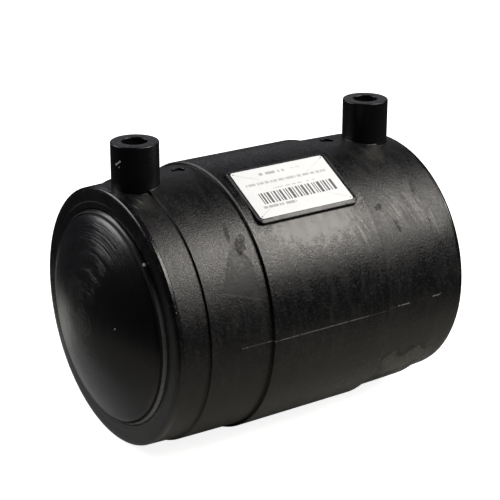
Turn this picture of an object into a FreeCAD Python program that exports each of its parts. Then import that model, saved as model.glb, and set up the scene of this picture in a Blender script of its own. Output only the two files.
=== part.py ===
# Electrofusion end cap: a polyethylene coupler whose far end is closed by a domed plug.
# Millimetres. The shapes are built about the Z axis, with the open mouth at z = 0 and the terminals along
# -Y. The finished part lies on its side: its axis is X, the mouth faces +X and the terminals point up.
import FreeCAD, Part
import math
import os

# Pipe and socket
PIPE_DIAMETER = 90.0
SOCKET_CLEARANCE = 0.3
LEAD_IN_DEPTH = 0.6
LEAD_IN_WIDTH = 2.2

# Barrel, along its axis
BARREL_LENGTH = 143.0
END_BAND_LENGTH = 14.2
STEP_BAND_LENGTH = 28.3

# Barrel, across its axis
BARREL_WALL = 11.7
MAIN_STEP = 1.3
STEP_BAND_TAPER = 0.5
END_STEP = 0.9
END_BAND_TAPER = 0.8
RIM_EDGE = 2.0
STEP_EDGE = 0.5

# Stop ring in the middle of the bore
STOP_HEIGHT = 2.5
STOP_THICKNESS = 3.0

# Domed plug
PLUG_WALL = 8.2
PLUG_STANDS_OUT = 1.3
DOME_RISE = 10.7
DOME_WALL = 9.5
DOME_BANDS = 4
PLUG_FOOT_EDGE = 1.0
DOME_EDGE = 0.8

# Heating wire
WIRE_SIZE = 0.9
WIRE_BELOW_BORE = 1.0
COIL_TURNS = 2
COIL_PITCH = 12.6
CROSSING_WIRE_SIZE = 0.8
COIL_END_ROOM = 1.5

# Terminal shrouds
TERMINAL_FROM_END = 13.8
SHROUD_DIAMETER = 19.6
SHROUD_HEIGHT = 15.6
SHROUD_BORE = 10.3
SHROUD_DEPTH = 12.0
SHROUD_EDGE = 0.6

# Terminal pins
PIN_DIAMETER = 4.0
PIN_BELOW_TOP = 3.2
PIN_TIP_EDGE = 0.5
PIN_SHANK_DIAMETER = 3.0
PIN_FLANGE_FROM_FLOOR = 5.0
PIN_FLANGE_DIAMETER = 6.4
PIN_FLANGE_THICKNESS = 1.5

# Fusion indicators
INDICATOR_TURN = 4.6
INDICATOR_PIPE_SIDE_Z = 31.0
INDICATOR_PLUG_SIDE_Z = 106.6
INDICATOR_BORE = 5.8
INDICATOR_DEPTH = 6.2
INDICATOR_PIN_DIAMETER = 3.2
INDICATOR_BELOW_SURFACE = 0.8

# Label pad and label
PAD_TURN = 28.2
PAD_LENGTH = 49.2
PAD_WIDTH = 29.8
PAD_RISE = 0.5
PAD_CORNER = 3.2
PAD_EDGE = 1.2
LABEL_MARGIN = 1.7
LABEL_THICKNESS = 0.2

# Radii worked out from the values above
bore_radius = PIPE_DIAMETER / 2 + SOCKET_CLEARANCE
main_radius = bore_radius + BARREL_WALL
step_band_inner_radius = main_radius - MAIN_STEP
step_band_outer_radius = step_band_inner_radius - STEP_BAND_TAPER
end_band_inner_radius = step_band_outer_radius - END_STEP
rim_radius = end_band_inner_radius - END_BAND_TAPER
coil_inner_radius = bore_radius + WIRE_BELOW_BORE
coil_seat_radius = coil_inner_radius + WIRE_SIZE
coil_radius = coil_seat_radius - WIRE_SIZE / 2

# Heights worked out from the values above
middle_z = BARREL_LENGTH / 2
coil_length = COIL_TURNS * COIL_PITCH
plug_coil_start = BARREL_LENGTH - TERMINAL_FROM_END - coil_length
shroud_top = main_radius + SHROUD_HEIGHT
shroud_floor = shroud_top - SHROUD_DEPTH
pin_top = shroud_top - PIN_BELOW_TOP
pad_top = main_radius + PAD_RISE

AXIS_START = FreeCAD.Vector(0, 0, 0)
UP = FreeCAD.Vector(0, 0, 1)


def point(radius, z):
    """A point of a profile that is turned about the Z axis."""
    return FreeCAD.Vector(radius, 0, z)


def polyline(points):
    """Straight edges through the points."""
    return [Part.LineSegment(a, b).toShape() for a, b in zip(points, points[1:])]


def turned(edges):
    """The solid that a closed profile sweeps about the Z axis."""
    face = Part.Face(Part.Wire(edges))
    return face.revolve(AXIS_START, UP, 360)


def laid_outward(solid, z):
    """A solid built along +Z, laid so that it stands out of the barrel along -Y at height z."""
    laid = solid.copy()
    laid.rotate(AXIS_START, FreeCAD.Vector(1, 0, 0), 90)
    laid.translate(FreeCAD.Vector(0, 0, z))
    return laid


def mirrored_half(half):
    """Profile points given for the mouth end, followed by the same points for the plug end."""
    return half + [point(p.x, BARREL_LENGTH - p.z) for p in reversed(half)]


def rim_edge():
    """The broken outer edge of a rim: two flats that follow a quarter circle."""
    steps = [math.radians(angle) for angle in (0, 45, 90)]
    corner = rim_radius - RIM_EDGE
    return [point(corner + RIM_EDGE * math.sin(a), RIM_EDGE * (1 - math.cos(a))) for a in steps]


def barrel():
    """The turned barrel: stepped bands outside, lead-ins and a stop ring in the bore."""
    band_end = END_BAND_LENGTH + STEP_BAND_LENGTH
    outside = mirrored_half(rim_edge() + [
        point(end_band_inner_radius, END_BAND_LENGTH),
        point(step_band_outer_radius, END_BAND_LENGTH),
        point(step_band_inner_radius, band_end),
        point(main_radius - STEP_EDGE, band_end),
        point(main_radius, band_end + STEP_EDGE),
    ])
    inside = mirrored_half([
        point(bore_radius + LEAD_IN_WIDTH, 0),
        point(bore_radius, LEAD_IN_DEPTH),
        point(bore_radius, middle_z - STOP_THICKNESS / 2),
        point(bore_radius - STOP_HEIGHT, middle_z - STOP_THICKNESS / 2),
    ])
    return turned(polyline(outside + list(reversed(inside)) + outside[:1]))


def shroud():
    """A terminal shroud's outside, from inside the wall to its top."""
    radius = SHROUD_DIAMETER / 2
    root = bore_radius + BARREL_WALL / 2
    return turned(polyline([
        point(0, root),
        point(radius, root),
        point(radius, shroud_top - SHROUD_EDGE),
        point(radius - SHROUD_EDGE, shroud_top),
        point(0, shroud_top),
        point(0, root),
    ]))


def rounded_plate(length, width, thickness, corner):
    """A plate with rounded corners, centred on the Z axis and lying on z = 0."""
    plate = Part.makeBox(width, length, thickness, FreeCAD.Vector(-width / 2, -length / 2, 0))
    uprights = [e for e in plate.Edges if abs(e.tangentAt(e.FirstParameter).z) > 0.5]
    return plate.makeFillet(corner, uprights)


def on_pad(plate, level):
    """A plate laid on the barrel at a distance from its axis, turned to where the label pad is."""
    laid = plate.copy()
    laid.translate(FreeCAD.Vector(0, 0, level))
    laid = laid_outward(laid, middle_z)
    laid.rotate(AXIS_START, UP, -PAD_TURN)
    return laid


def label_pad():
    """The flat-topped pad that carries the label, down into the wall."""
    root = bore_radius + BARREL_WALL / 2
    plate = rounded_plate(PAD_LENGTH, PAD_WIDTH, pad_top - root, PAD_CORNER)
    top_edges = [e for e in plate.Edges if e.BoundBox.ZMin > plate.BoundBox.ZMax - 0.001]
    plate = plate.makeChamfer(PAD_EDGE, top_edges)
    return on_pad(plate, root)


def label():
    """The label, inside the pad's rounded edge."""
    length = PAD_LENGTH - 2 * LABEL_MARGIN
    width = PAD_WIDTH - 2 * LABEL_MARGIN
    plate = rounded_plate(length, width, LABEL_THICKNESS, PAD_CORNER - LABEL_MARGIN)
    return on_pad(plate, pad_top)


def coil_seat(start_z):
    """The ring-shaped room that a coil takes up inside the wall."""
    start = start_z - COIL_END_ROOM
    end = start_z + coil_length + COIL_END_ROOM
    return turned(polyline([
        point(coil_inner_radius, start),
        point(coil_seat_radius, start),
        point(coil_seat_radius, end),
        point(coil_inner_radius, end),
        point(coil_inner_radius, start),
    ]))


def terminal_pin(z):
    """A brass pin: its shank reaches the coil, its flange anchors it, its head stands in the shroud."""
    shank = PIN_SHANK_DIAMETER / 2
    flange = PIN_FLANGE_DIAMETER / 2
    head = PIN_DIAMETER / 2
    flange_top = shroud_floor - PIN_FLANGE_FROM_FLOOR
    flange_foot = flange_top - PIN_FLANGE_THICKNESS
    edges = polyline([
        point(0, coil_radius),
        point(shank, coil_radius),
        point(shank, flange_foot),
        point(flange, flange_foot),
        point(flange, flange_top),
        point(shank, flange_top),
        point(shank, shroud_floor),
        point(head, shroud_floor),
        point(head, pin_top - PIN_TIP_EDGE),
        point(head - PIN_TIP_EDGE, pin_top),
        point(0, pin_top),
        point(0, coil_radius),
    ])
    inside_coil_seat = Part.makeCylinder(coil_seat_radius, BARREL_LENGTH)
    return laid_outward(turned(edges), z).cut(inside_coil_seat)


def radial_cylinder(diameter, low, high, z):
    """A cylinder about the terminals' direction, between two distances from the barrel's axis."""
    bar = Part.makeCylinder(diameter / 2, high - low, point(0, low), UP)
    return laid_outward(bar, z)


def step_band_radius(z):
    """The outside radius of a step band at height z."""
    from_end = min(z, BARREL_LENGTH - z)
    share = (from_end - END_BAND_LENGTH) / STEP_BAND_LENGTH
    return step_band_outer_radius + share * STEP_BAND_TAPER


def indicator_cylinder(z, diameter, below_surface, top_above):
    """A cylinder about an indicator's axis, from its hole's floor to a level near the surface."""
    surface = step_band_radius(z)
    cylinder = radial_cylinder(diameter, surface - below_surface, surface + top_above, z)
    cylinder.rotate(AXIS_START, UP, INDICATOR_TURN)
    return cylinder


def fusion_indicator(z):
    """A small pin that stands on its hole's floor, just below the surface."""
    return indicator_cylinder(z, INDICATOR_PIN_DIAMETER, INDICATOR_DEPTH, -INDICATOR_BELOW_SURFACE)


def crossing_bar():
    """The straight stretch of wire that joins the two coils along the bore."""
    half = CROSSING_WIRE_SIZE / 2
    start = TERMINAL_FROM_END + coil_length - half
    corner = FreeCAD.Vector(-half, -coil_radius - half, start)
    return Part.makeBox(2 * half, 2 * half, BARREL_LENGTH - 2 * start, corner)


def coil(start_z):
    """One coil of square wire, a whole number of turns that start and end below the terminals."""
    half = WIRE_SIZE / 2
    path = Part.makeHelix(COIL_PITCH, coil_length, coil_radius)
    corners = [
        point(coil_radius - half, -half),
        point(coil_radius + half, -half),
        point(coil_radius + half, half),
        point(coil_radius - half, half),
    ]
    section = Part.Wire(polyline(corners + corners[:1]))
    turns = Part.Wire(path.Edges).makePipeShell([section], True, True)
    turns.rotate(AXIS_START, UP, -90)
    turns.translate(FreeCAD.Vector(0, 0, start_z))
    return turns


def heating_wire():
    """Both coils and the bar between them, one continuous conductor."""
    mouth_coil = coil(TERMINAL_FROM_END)
    plug_coil = coil(plug_coil_start)
    return mouth_coil.multiFuse([crossing_bar(), plug_coil])


def coupler_body(pins):
    """The moulded barrel with its shrouds and pad, hollowed for what it holds."""
    terminals = [TERMINAL_FROM_END, BARREL_LENGTH - TERMINAL_FROM_END]
    shrouds = [laid_outward(shroud(), z) for z in terminals]
    body = barrel().multiFuse(shrouds + [label_pad()])
    hollows = [coil_seat(TERMINAL_FROM_END), coil_seat(plug_coil_start), crossing_bar()]
    for z in terminals:
        hollows.append(radial_cylinder(SHROUD_BORE, shroud_floor, shroud_top + SHROUD_EDGE, z))
    for z in (INDICATOR_PIPE_SIDE_Z, INDICATOR_PLUG_SIDE_Z):
        hollows.append(indicator_cylinder(z, INDICATOR_BORE, INDICATOR_DEPTH, MAIN_STEP))
    return body.cut(hollows + pins)


def end_plug():
    """The hollow plug that rests on the stop ring and closes the far end with a dome."""
    radius = PIPE_DIAMETER / 2
    cavity_radius = radius - PLUG_WALL
    foot = middle_z + STOP_THICKNESS / 2
    shoulder = BARREL_LENGTH + PLUG_STANDS_OUT
    apex = shoulder + DOME_RISE
    sphere_radius = (radius ** 2 + DOME_RISE ** 2) / (2 * DOME_RISE)
    centre_z = apex - sphere_radius

    def on_dome(distance):
        """The dome's point at a distance from the axis."""
        return point(distance, centre_z + math.sqrt(sphere_radius ** 2 - distance ** 2))

    dome_radius = radius - DOME_EDGE
    dome = [on_dome(dome_radius * band / DOME_BANDS) for band in range(DOME_BANDS, -1, -1)]
    return turned(polyline(dome + [
        point(0, on_dome(cavity_radius / 2).z - DOME_WALL),
        point(cavity_radius / 2, on_dome(cavity_radius / 2).z - DOME_WALL),
        point(cavity_radius, on_dome(cavity_radius).z - DOME_WALL),
        point(cavity_radius, foot),
        point(radius - PLUG_FOOT_EDGE, foot),
        point(radius, foot + PLUG_FOOT_EDGE),
        point(radius, dome[0].z - DOME_EDGE),
        dome[0],
    ]))


def all_parts():
    """Every sub-part by its node name."""
    pin_pipe_side = terminal_pin(TERMINAL_FROM_END)
    pin_plug_side = terminal_pin(BARREL_LENGTH - TERMINAL_FROM_END)
    return {
        "coupler_body": coupler_body([pin_pipe_side, pin_plug_side]),
        "end_plug": end_plug(),
        "heating_wire": heating_wire(),
        "terminal_pin_pipe_side": pin_pipe_side,
        "terminal_pin_plug_side": pin_plug_side,
        "fusion_indicator_pipe_side": fusion_indicator(INDICATOR_PIPE_SIDE_Z),
        "fusion_indicator_plug_side": fusion_indicator(INDICATOR_PLUG_SIDE_Z),
        "label": label(),
    }


def on_its_side(shape):
    """The shape turned from the axes that it is built in to those that the part is used in."""
    turn = FreeCAD.Matrix(0, 0, -1, 0, 1, 0, 0, 0, 0, -1, 0, 0, 0, 0, 0, 1)
    laid = shape.copy()
    laid.Placement = FreeCAD.Placement(turn).multiply(laid.Placement)
    return laid


os.makedirs("parts", exist_ok=True)
for name, built in all_parts().items():
    shape = on_its_side(built)
    print(name, "solids", len(shape.Solids), "valid", shape.isValid(), "volume", round(shape.Volume, 1))
    shape.exportStep(os.path.join("parts", name + ".step"))
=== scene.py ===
import math

import bmesh
import bpy
from mathutils import Matrix, Vector

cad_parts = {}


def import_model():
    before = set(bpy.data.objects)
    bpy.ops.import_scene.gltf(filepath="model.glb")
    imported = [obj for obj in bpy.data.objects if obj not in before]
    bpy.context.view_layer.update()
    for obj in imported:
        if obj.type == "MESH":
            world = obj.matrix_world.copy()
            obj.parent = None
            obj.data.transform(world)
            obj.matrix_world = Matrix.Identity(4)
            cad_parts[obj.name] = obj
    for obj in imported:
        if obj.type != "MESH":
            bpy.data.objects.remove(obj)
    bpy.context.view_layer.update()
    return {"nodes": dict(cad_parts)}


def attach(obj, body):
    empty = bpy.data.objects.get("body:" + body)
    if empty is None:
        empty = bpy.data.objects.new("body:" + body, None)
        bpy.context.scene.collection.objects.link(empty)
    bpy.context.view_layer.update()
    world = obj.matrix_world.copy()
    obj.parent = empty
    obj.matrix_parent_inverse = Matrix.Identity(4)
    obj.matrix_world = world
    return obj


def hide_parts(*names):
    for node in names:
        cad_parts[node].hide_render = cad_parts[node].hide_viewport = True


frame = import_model()

# The frame: metres, the pipe socket's axis is X with the open mouth at x = 0, the terminals point up.
# Pieces are given by the distance from the mouth along the axis, the distance from the axis, and the angle
# from the top round towards the front, in millimetres and degrees.
MM = 0.001

# Barrel
BARREL_LENGTH = 143.0
BORE = 45.3
MAIN = 57.0
STEP_BAND = (55.2, 55.7)
END_BAND = (53.5, 54.3)
END_BAND_LENGTH = 14.2
STEP_BAND_LENGTH = 28.3
LEAD_IN_WIDTH = 2.2
LEAD_IN_DEPTH = 0.6
PLUG_LEAD_IN_DEPTH = 0.15
STOP_HALF_THICKNESS = 1.5
STOP_RADIUS = 42.8

# Rims: the mouth's is round, the plug side's is a quarter of an ellipse, given by how much it takes off the
# radius and how far along the barrel it goes, and it stands out a little
RIM_ROUNDING = 2.2
PLUG_RIM_WIDTH = 3.0
PLUG_RIM_DEPTH = 1.1
PLUG_RIM_LIFT = 0.4

# Roundings at the foot and at the top of the two steps outside, and in the bore
STEP_ROUNDINGS = (0.22, 0.4)
MAIN_ROUNDINGS = (0.25, 0.45)
PLUG_LEAD_IN_ROUNDINGS = (0.15, 0.1)
BORE_ROUNDING = 0.3

# The barrel's mesh: the points of a ring, the radius past which a point lies outside, the spacing of the
# rings on long flats and their distance from those at the holes, and one ring on each rim's face
AROUND = 360
OUTSIDE = 52.0
LONG_FLAT = 4
RING_SPACING = 6
RING_CLEARANCE = 1.5
RIM_RING = 2.2

# Plug
PLUG = 45.0
PLUG_AROUND = 240
PLUG_WALL_RINGS = (142.0, 110.0)
PLUG_CAVITY = 36.8
PLUG_FOOT = 73.0
SHOULDER = 144.3
DOME_RISE = 10.7
DOME_WALL = 9.5
DOME_EDGE = 2.0
DOME_RINGS = 24

# The groove behind the dome's edge, as (behind that edge, inside the plug's radius), and the bevel below it,
# as (past the barrel's end, inside the plug's radius)
GROOVE = ((0.9, 1.9), (1.0, 1.65), (0.45, 1.45))
BEVEL = ((0.3, 0.15), (-0.1, 0.0))

# The plug's foot, as (inside its radius, past its end), and the edge of the cavity's mouth
PLUG_FOOT_EDGE = ((0.0, 1.0), (0.3, 0.3), (1.0, 0.0))
CAVITY_MOUTH_EDGE = 0.3

# The cavity's wall and its corner, as (past the end of the wall, in from it), and its roof's edge, as (past
# the roof, out from half the cavity's radius)
CAVITY_WALL_RING = 100.0
CAVITY_CORNER = ((-2.0, 0.0), (-0.4, 1.0), (0.6, 3.4))
CAVITY_ROOF_EDGE = ((-0.3, 2.0), (0.0, -1.0))
CAVITY_ROOF_RING = 6.0

# Terminals. The shroud's floor meets its bore in a corner of points (in from the wall, off the floor).
TERMINALS = (13.8, 129.2)
SHROUD = 9.8
SHROUD_AROUND = 128
SHROUD_TOP = 72.6
SHROUD_FLOOR = 60.6
SHROUD_BORE = 5.15
SHROUD_FOOT = 0.25
SHROUD_FOOT_SUNK = 0.6
SHROUD_ROOT = 50.0
SHROUD_ROOT_INSET = 3
SHROUD_WALL_RINGS = (60.0, 66.0)
SHROUD_EDGE = 0.55
SHROUD_TOP_RING = 7.5
SHROUD_BORE_EDGE = 0.45
SHROUD_BORE_RING = 4
SHROUD_FLOOR_CORNER = ((0.0, 0.5), (0.15, 0.15), (0.5, 0.0))

# Indicators, with the same kind of corner. Each hole is cut in a square window of the barrel's mesh, whose
# size is counted in cells.
INDICATORS = (31.0, 106.6)
INDICATOR_ANGLE = -4.6
INDICATOR_BORE = 2.9
INDICATOR_DEPTH = 6.2
INDICATOR_EDGE = 0.3
INDICATOR_FLOOR_CORNER = ((0.0, 0.4), (0.12, 0.12), (0.4, 0.0))
HOLE_CELLS = 5
HOLE_STEP = 0.97

# Label pad
PAD_ANGLE = 28.2
PAD_LENGTH = 49.2
PAD_WIDTH = 29.8
PAD_TOP = 57.5
PAD_ROOT = 52.0
PAD_CORNER = 2.6

# The pad's edge, as (how far in from its outline, how far below its top): sloping along its two long sides,
# a small rounding at its two ends
PAD_SLOPE = ((0.0, 4.5), (0.0, 1.22), (0.02, 1.08), (0.1, 0.97), (0.35, 0.82), (0.85, 0.53), (1.3, 0.27),
             (1.6, 0.1), (1.9, 0.0), (3.2, 0.0))
PAD_END = ((0.0, 4.5), (0.0, 0.52), (0.02, 0.42), (0.08, 0.3), (0.17, 0.19), (0.28, 0.11), (0.42, 0.045),
           (0.6, 0.0), (1.0, 0.0), (3.2, 0.0))

# Label, with its edge in the same form as the pad's
LABEL_MARGIN = 1.7
LABEL_CORNER = 1.4
LABEL_SHIFT = (0.25, 0.45)
LABEL_THICKNESS = 0.2
LABEL_SUNK = 0.1
LABEL_EDGE = ((0.0, 0.06), (0.02, 0.02), (0.06, 0.0), (1.5, 0.0))

# Camera
CAMERA_PLACE = (-0.42775, -0.52321, 0.25340)
CAMERA_TARGET = (-0.07055, 0.00507, 0.01254)
CAMERA_ROLL = 0.11
CAMERA_LENS = 113.96
CAMERA_SENSOR = 36

# Lamps: direction from the barrel's middle, distance, width and height in metres, radiance, colour
SOFTBOXES = {
    "key": ((0.524, -0.50, 0.69), 1.15, 0.66, 0.66, 12.0, (1.0, 0.98, 0.94)),
    "back_left": ((-0.63, 0.655, 0.535), 1.3, 0.78, 0.66, 6.0, (0.97, 0.98, 1.0)),
    "back_right": ((0.53, 0.78, 0.28), 1.3, 0.9, 0.32, 0.42, (0.97, 0.98, 1.0)),
}
STUDIO = (0.036, 0.038, 0.05, 1)
WHITE = (1, 1, 1, 1)

# The floor, in metres: half its size, and how far it lies below the part
FLOOR_HALF = 3.0
FLOOR_GAP = 0.0002

# How much the floor is lifted towards white where the camera sees it
FLOOR_LIFT = 0.88
FLOOR_LIFT_FADE = (260, 700)

# The floor's colour carries a painted falloff of light: it fades to dark between these distances from a point
# under the part, and a painted pool of light makes it lighter around another point, beside the dome
FLOOR_FALLOFF_MIDDLE = (-80, -10, -57)
FLOOR_LIGHT_FALLOFF = (110, 245)
FLOOR_LIGHT_POOL = (-154, 60, -57)
FLOOR_LIGHT_POOL_SHAPE = (0.5, 1.7, 1)
FLOOR_LIGHT_POOL_FADE = (25, 100)
FLOOR_PALE = ((0.34, 0.335, 0.305, 1), (0.37, 0.365, 0.335, 1))
FLOOR_FALLOFF_DARK = (0.035, 0.035, 0.038, 1)
FLOOR_WHITE = (0.88, 0.88, 0.84, 1)


def at(along, radius, angle):
    """The point that far from the mouth and from the axis, at an angle from the top towards the front."""
    a = math.radians(angle)
    return Vector((-along, -radius * math.sin(a), radius * math.cos(a))) * MM


def outward_frame(angle):
    """The directions out of the barrel and round it, at an angle from the top towards the front."""
    a = math.radians(angle)
    return Vector((0, -math.sin(a), math.cos(a))), Vector((0, -math.cos(a), -math.sin(a)))


class Shell:
    """Points and faces of one closed skin, joined ring by ring."""

    def __init__(self):
        self.points = []
        self.faces = []

    def ring(self, points):
        first = len(self.points)
        self.points += points
        return list(range(first, len(self.points)))

    def bridge(self, low, high, skip=()):
        count = len(low)
        for i in range(count):
            if i not in skip:
                j = (i + 1) % count
                self.faces.append((low[i], low[j], high[j], high[i]))

    def fan(self, ring, centre):
        middle = self.ring([centre])[0]
        for i in range(len(ring)):
            self.faces.append((ring[i], ring[(i + 1) % len(ring)], middle))

    def stack(self, rings):
        """Bridges a list of rings of points one after the other, and returns their indices."""
        made = [self.ring(r) for r in rings]
        for low, high in zip(made, made[1:]):
            self.bridge(low, high)
        return made

    def add(self, other):
        first = len(self.points)
        self.points += other.points
        self.faces += [tuple(i + first for i in f) for f in other.faces]


def add_object(name, data):
    """A new object in the scene."""
    made = bpy.data.objects.new(name, data)
    bpy.context.scene.collection.objects.link(made)
    return made


def weighted_normals(mesh):
    """Large faces lead the shading, so that small roundings don't shade the flats beside them."""
    normals = [Vector() for _ in mesh.vertices]
    for face in mesh.polygons:
        for i in face.vertices:
            normals[i] += face.normal * face.area
    mesh.normals_split_custom_set_from_vertices([n.normalized() for n in normals])


def piece(name, shells, material, node):
    """One object made of closed shells, riding on the frame in place of a node."""
    whole = Shell()
    for shell in shells:
        whole.add(shell)
    mesh = bpy.data.meshes.new(name)
    mesh.from_pydata(whole.points, [], whole.faces)
    mesh.validate()
    bm = bmesh.new()
    bm.from_mesh(mesh)
    bmesh.ops.recalc_face_normals(bm, faces=bm.faces)
    bm.to_mesh(mesh)
    bm.free()
    mesh.polygons.foreach_set("use_smooth", [True] * len(mesh.polygons))
    weighted_normals(mesh)
    mesh.materials.append(material)
    made = add_object(name, mesh)
    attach(made, "root")
    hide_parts(node)


def rounded(points, radii, steps=4):
    """A profile whose inner corners are rounded: each corner gets a small arc of its own radius."""
    out = []
    count = len(points)
    for k in range(count):
        p, radius = Vector(points[k]), radii[k]
        before, after = Vector(points[k - 1]), Vector(points[(k + 1) % count])
        if radius == 0:
            out.append((p.x, p.y))
            continue
        a, b = (before - p), (after - p)
        turn = a.angle(b)
        reach = min(radius / math.tan(turn / 2), 0.48 * a.length, 0.48 * b.length)
        start, end = p + a.normalized() * reach, p + b.normalized() * reach
        for s in range(steps + 1):
            t = s / steps
            q = start * (1 - t) ** 2 + p * (2 * t * (1 - t)) + end * t ** 2
            out.append((q.x, q.y))
    return out


def quarter(steps, first=0):
    """A right angle in steps, each as what its sine and its cosine lack of 1, for quarter-round edges."""
    turns = [math.radians(90 * k / steps) for k in range(first, steps + 1)]
    return [(1 - math.sin(a), 1 - math.cos(a)) for a in turns]


def band_radius(along):
    """The outside radius at a distance from the mouth, away from the rounded corners."""
    end = min(along, BARREL_LENGTH - along)
    if end < END_BAND_LENGTH:
        share = end / END_BAND_LENGTH
        return END_BAND[0] + share * (END_BAND[1] - END_BAND[0])
    if end < END_BAND_LENGTH + STEP_BAND_LENGTH:
        share = (end - END_BAND_LENGTH) / STEP_BAND_LENGTH
        return STEP_BAND[0] + share * (STEP_BAND[1] - STEP_BAND[0])
    return MAIN


def hole_rows():
    """Distances from the mouth at which the mesh gets a ring of points, around the indicator holes."""
    return {z: [z + k * HOLE_STEP for k in range(-HOLE_CELLS, HOLE_CELLS + 1)] for z in INDICATORS}


def half_outside(from_mouth):
    """Corners of the outside, from a rim to the main band, with the radius of each corner's rounding."""
    band_end = END_BAND_LENGTH + STEP_BAND_LENGTH
    corners = [(0, BORE + LEAD_IN_WIDTH + RIM_RING, 0)]
    if from_mouth:
        corners.append((0, END_BAND[0], RIM_ROUNDING))
    else:
        top = END_BAND[0] + PLUG_RIM_LIFT
        corners += [(PLUG_RIM_DEPTH * c, top - PLUG_RIM_WIDTH * s, 0) for s, c in quarter(8)]
    corners += [
        (END_BAND_LENGTH, END_BAND[1], STEP_ROUNDINGS[0]),
        (END_BAND_LENGTH, STEP_BAND[0], STEP_ROUNDINGS[1]),
        (band_end, STEP_BAND[1], MAIN_ROUNDINGS[0]),
        (band_end, MAIN, MAIN_ROUNDINGS[1]),
    ]
    return corners if from_mouth else [(BARREL_LENGTH - z, r, e) for z, r, e in reversed(corners)]


def barrel_profile():
    """The barrel's closed profile as (distance from the mouth, radius), with extra points on long flats."""
    middle = BARREL_LENGTH / 2
    inside = [
        (BARREL_LENGTH, BORE + LEAD_IN_WIDTH, PLUG_LEAD_IN_ROUNDINGS[0]),
        (BARREL_LENGTH - PLUG_LEAD_IN_DEPTH, BORE, PLUG_LEAD_IN_ROUNDINGS[1]),
        (middle + STOP_HALF_THICKNESS, BORE, BORE_ROUNDING),
        (middle + STOP_HALF_THICKNESS, STOP_RADIUS, BORE_ROUNDING),
        (middle - STOP_HALF_THICKNESS, STOP_RADIUS, BORE_ROUNDING),
        (middle - STOP_HALF_THICKNESS, BORE, BORE_ROUNDING),
        (LEAD_IN_DEPTH, BORE, BORE_ROUNDING),
        (0, BORE + LEAD_IN_WIDTH, BORE_ROUNDING),
    ]
    corners = half_outside(True) + half_outside(False) + inside
    profile = rounded([c[:2] for c in corners], [c[2] for c in corners])
    wanted = sorted(z for rows in hole_rows().values() for z in rows)
    out = []
    for a, b in zip(profile, profile[1:] + profile[:1]):
        out.append(a)
        length = b[0] - a[0]
        if min(a[1], b[1]) > OUTSIDE and length > LONG_FLAT:
            extra = [z for z in wanted if a[0] < z < b[0]]
            steps = max(int(length / RING_SPACING), 1)
            even = [a[0] + length * k / steps for k in range(1, steps)]
            extra += [z for z in even if all(abs(z - row) > RING_CLEARANCE for row in extra)]
            for z in sorted(extra):
                share = (z - a[0]) / length
                out.append((z, a[1] + share * (b[1] - a[1])))
    return out


def ring_index(profile, along):
    """Which ring of the outside lies at a distance from the mouth."""
    return next(i for i, (z, r) in enumerate(profile) if abs(z - along) < 1e-6 and r > OUTSIDE)


def indicator_hole(shell, rings, profile, where):
    """Lines the window that the mesh leaves open at an indicator, down to the floor of its hole."""
    index = [ring_index(profile, z) for z in hole_rows()[where]]
    n, t = outward_frame(INDICATOR_ANGLE)
    cells = HOLE_CELLS
    side = range(-cells, cells)
    border = [(k, -cells) for k in side] + [(cells, k) for k in side]
    border += [(-k, cells) for k in side] + [(-cells, -k) for k in side]
    outer = [rings[index[row + cells]][(AROUND // 2 + column) % AROUND] for column, row in border]
    square = []
    for i in outer:
        p = shell.points[i] / MM
        square.append((p.dot(t), -p.x - where))

    def on_circle(radius):
        """The square's points drawn in to a circle."""
        return [(u / math.hypot(u, v) * radius, v / math.hypot(u, v) * radius) for u, v in square]

    def surface(u, v):
        r = band_radius(where + v)
        return (n * math.sqrt(r * r - u * u) + t * u) * MM + Vector((-(where + v), 0, 0)) * MM

    def sunk(radius, drop):
        """A circle that follows the barrel's surface, at a depth under it."""
        return [surface(u, v) - n * drop * MM for u, v in on_circle(radius)]

    def level(radius, height):
        """A flat circle at a height over the axis."""
        return [(n * height + t * u) * MM + Vector((-(where + v), 0, 0)) * MM for u, v in on_circle(radius)]

    mouth = INDICATOR_BORE + INDICATOR_EDGE
    floor = band_radius(where) - INDICATOR_DEPTH
    pairs = zip(square, on_circle(mouth))
    inner = [[surface(u + 0.5 * (cu - u), v + 0.5 * (cv - v)) for (u, v), (cu, cv) in pairs], sunk(mouth, 0)]
    inner += [sunk(INDICATOR_BORE + INDICATOR_EDGE * s, INDICATOR_EDGE * c) for s, c in quarter(3, 1)]
    inner += [level(INDICATOR_BORE - inward, floor + up) for inward, up in INDICATOR_FLOOR_CORNER]
    last = outer
    for points in inner:
        ring = shell.ring(points)
        shell.bridge(last, ring)
        last = ring
    shell.fan(last, n * floor * MM + Vector((-where, 0, 0)) * MM)


def barrel_shell():
    """The turned barrel with its two indicator holes."""
    profile = barrel_profile()
    shell = Shell()
    turn = 360 / AROUND
    middle = AROUND // 2
    offset = INDICATOR_ANGLE - turn * middle
    rings = []
    for z, r in profile:
        rings.append(shell.ring([at(z, r, offset + turn * k) for k in range(AROUND)]))
    window = set(range(middle - HOLE_CELLS, middle + HOLE_CELLS))
    opened = set()
    for rows in hole_rows().values():
        first = ring_index(profile, rows[0])
        opened |= set(range(first, first + 2 * HOLE_CELLS))
    for i in range(len(rings)):
        shell.bridge(rings[i], rings[(i + 1) % len(rings)], window if i in opened else ())
    for where in INDICATORS:
        indicator_hole(shell, rings, profile, where)
    return shell


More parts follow.
